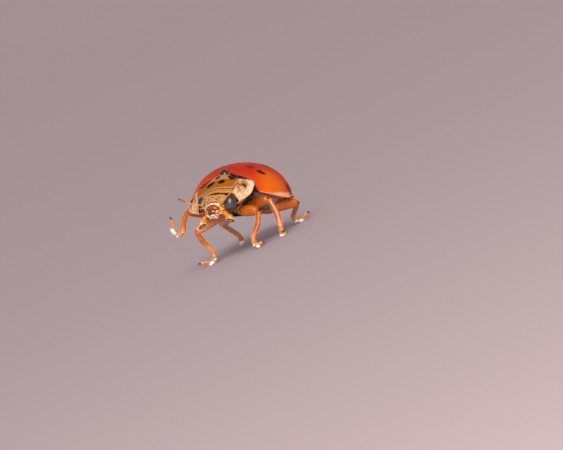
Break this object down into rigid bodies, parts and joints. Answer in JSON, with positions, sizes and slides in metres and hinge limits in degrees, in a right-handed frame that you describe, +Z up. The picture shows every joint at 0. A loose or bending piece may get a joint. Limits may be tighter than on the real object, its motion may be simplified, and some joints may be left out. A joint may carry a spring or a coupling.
{
  "type": "harlequin ladybird",
  "caption": "Life-size still model of a ladybird with orange-red domed wing cases, a cream and black pronotum and one front leg raised.",
  "frame": {"origin": "on the floor, below the middle of the beetle's box", "axes": "+Z up, the beetle faces -Y, its left side is +X"},
  "size_m": [0.0054, 0.0076, 0.0043],
  "materials": {
    "wing_case_cuticle": "glossy orange-red beetle cuticle, finely pitted, with a paler rim",
    "pronotum_cuticle": "glossy cream cuticle with an ochre middle, five black spots and brown pits",
    "head_cuticle": "satin cream to tan cuticle with brown pits",
    "eye_facets": "glossy black facets",
    "mouthpart_cuticle": "glossy orange-brown cuticle",
    "leg_cuticle": "satin orange-brown cuticle with fine hairs",
    "foot_pads": "pale hairy foot pads under orange-brown joints",
    "belly_cuticle": "satin dark brown to black cuticle, orange towards the sides",
    "scutellum_cuticle": "glossy black cuticle"
  },
  "bodies": {
    "root": {"head": "head_cuticle", "eye_left": "eye_facets", "eye_right": "eye_facets", "labrum": "mouthpart_cuticle", "mouthparts": "mouthpart_cuticle", "palp_left": "mouthpart_cuticle", "palp_right": "mouthpart_cuticle", "antenna_left": "leg_cuticle", "antenna_right": "leg_cuticle", "pronotum": "pronotum_cuticle", "prosternum": "belly_cuticle", "scutellum": "scutellum_cuticle", "elytron_left": "wing_case_cuticle", "elytron_right": "wing_case_cuticle", "thorax": "belly_cuticle", "abdomen": "belly_cuticle", "leg_front_left_thigh": "leg_cuticle", "leg_front_left_shin": "leg_cuticle", "leg_front_left_foot": "foot_pads", "leg_middle_left_thigh": "leg_cuticle", "leg_middle_left_shin": "leg_cuticle", "leg_middle_left_foot": "foot_pads", "leg_hind_left_thigh": "leg_cuticle", "leg_hind_left_shin": "leg_cuticle", "leg_hind_left_foot": "foot_pads", "leg_front_right_thigh": "leg_cuticle", "leg_front_right_shin": "leg_cuticle", "leg_front_right_foot": "foot_pads", "leg_middle_right_thigh": "leg_cuticle", "leg_middle_right_shin": "leg_cuticle", "leg_middle_right_foot": "foot_pads", "leg_hind_right_thigh": "leg_cuticle", "leg_hind_right_shin": "leg_cuticle", "leg_hind_right_foot": "foot_pads"}
  },
  "joints": []
}
